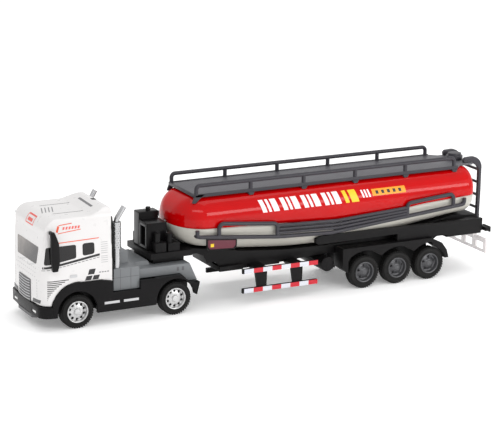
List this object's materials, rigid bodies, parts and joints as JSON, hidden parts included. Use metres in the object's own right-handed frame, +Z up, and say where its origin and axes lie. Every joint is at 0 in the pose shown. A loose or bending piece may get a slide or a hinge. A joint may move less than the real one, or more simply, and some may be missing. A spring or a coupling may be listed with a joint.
{
  "type": "toy tanker truck",
  "caption": "Toy cab-over tractor with an articulated tank semi-trailer, rolling wheels, walkway with handrails, side rails and ladder.",
  "frame": {"origin": "middle of the truck's length and width, on the ground under the tyres", "axes": "+Z up, +X towards the rear of the trailer, +Y towards the truck's own right side seen with the cab at -X"},
  "size_m": [0.314, 0.0576, 0.0777],
  "materials": {
    "white_cab": "glossy white moulding",
    "smoked_window": "dark smoked clear plastic",
    "dark_grille": "satin dark moulding",
    "lamp_lens": "glossy pale lens",
    "black_plastic": "satin black moulding",
    "black_gloss": "glossy black moulding",
    "silver_trim": "bright plated moulding",
    "grey_deck": "satin grey moulding",
    "steel": "bright steel",
    "red_gloss": "glossy red moulding",
    "stone_shell": "satin stone grey moulding",
    "walkway_grey": "satin grey moulding with a tread pattern",
    "rail_grey": "satin dark grey moulding",
    "dark_red": "dark red printed panel",
    "reflector": "red and white printed strip",
    "clear_lamp": "clear plastic lamp board",
    "tyre": "satin black rubber",
    "silver_rim": "satin silver",
    "grey_rim": "satin dark grey"
  },
  "bodies": {
    "tractor": {"cab_shell": "white_cab", "windscreen": "smoked_window", "side_windows": "smoked_window", "grille": "dark_grille", "headlights": "lamp_lens", "cab_interior": "black_plastic", "mirror_left": "black_plastic", "mirror_right": "black_plastic", "cab_back_panel": "black_plastic", "front_bumper": "black_gloss", "fog_lamps": "lamp_lens", "fairing_left": "black_gloss", "fairing_right": "black_gloss", "step_plates": "silver_trim", "tractor_chassis": "black_plastic", "frame_deck": "grey_deck", "fifth_wheel": "black_plastic", "exhaust_stacks": "silver_trim", "exhaust_shields": "silver_trim", "tractor_screws": "steel"},
    "front_wheels": {"front_axle": "steel", "front_rims": "silver_rim", "front_tyres": "tyre"},
    "drive_wheels": {"drive_axle": "steel", "drive_rims": "silver_rim", "drive_tyres": "tyre"},
    "trailer": {"trailer_frame": "black_plastic", "kingpin": "steel", "pump_cabinet": "black_gloss", "valve_block": "black_plastic", "tank_top": "red_gloss", "tank_bottom": "stone_shell", "walkway": "walkway_grey", "handrail_left": "rail_grey", "handrail_right": "rail_grey", "hose_cover": "black_plastic", "side_rail_left": "rail_grey", "side_rail_right": "rail_grey", "marker_plates": "black_plastic", "marker_inserts": "dark_red", "side_guard_left": "black_plastic", "side_guard_right": "black_plastic", "guard_stripes": "reflector", "air_tank": "black_plastic", "mudguard_left": "black_plastic", "mudguard_right": "black_plastic", "ladder": "black_plastic", "light_board": "clear_lamp", "rear_lamp_arms": "black_plastic", "trailer_screws": "steel"},
    "trailer_wheels_1": {"trailer_1_axle": "steel", "trailer_1_rims": "grey_rim", "trailer_1_tyres": "tyre"},
    "trailer_wheels_2": {"trailer_2_axle": "steel", "trailer_2_rims": "grey_rim", "trailer_2_tyres": "tyre"},
    "trailer_wheels_3": {"trailer_3_axle": "steel", "trailer_3_rims": "grey_rim", "trailer_3_tyres": "tyre"}
  },
  "joints": [
    {"name": "kingpin_swing", "type": "hinge", "parent": "tractor", "child": "trailer", "pos_m": [-0.071, 0, 0.0335], "axis": [0, 0, 1], "range_deg": [-90, 90]},
    {"name": "front_wheels_roll", "type": "hinge", "parent": "tractor", "child": "front_wheels", "pos_m": [-0.1334, 0, 0.0102], "axis": [0, 1, 0], "continuous": true},
    {"name": "drive_wheels_roll", "type": "hinge", "parent": "tractor", "child": "drive_wheels", "pos_m": [-0.0699, 0, 0.0102], "axis": [0, 1, 0], "continuous": true},
    {"name": "trailer_wheels_1_roll", "type": "hinge", "parent": "trailer", "child": "trailer_wheels_1", "pos_m": [0.0622, 0, 0.0106], "axis": [0, 1, 0], "continuous": true},
    {"name": "trailer_wheels_2_roll", "type": "hinge", "parent": "trailer", "child": "trailer_wheels_2", "pos_m": [0.0864, 0, 0.0106], "axis": [0, 1, 0], "continuous": true},
    {"name": "trailer_wheels_3_roll", "type": "hinge", "parent": "trailer", "child": "trailer_wheels_3", "pos_m": [0.1106, 0, 0.0106], "axis": [0, 1, 0], "continuous": true}
  ]
}
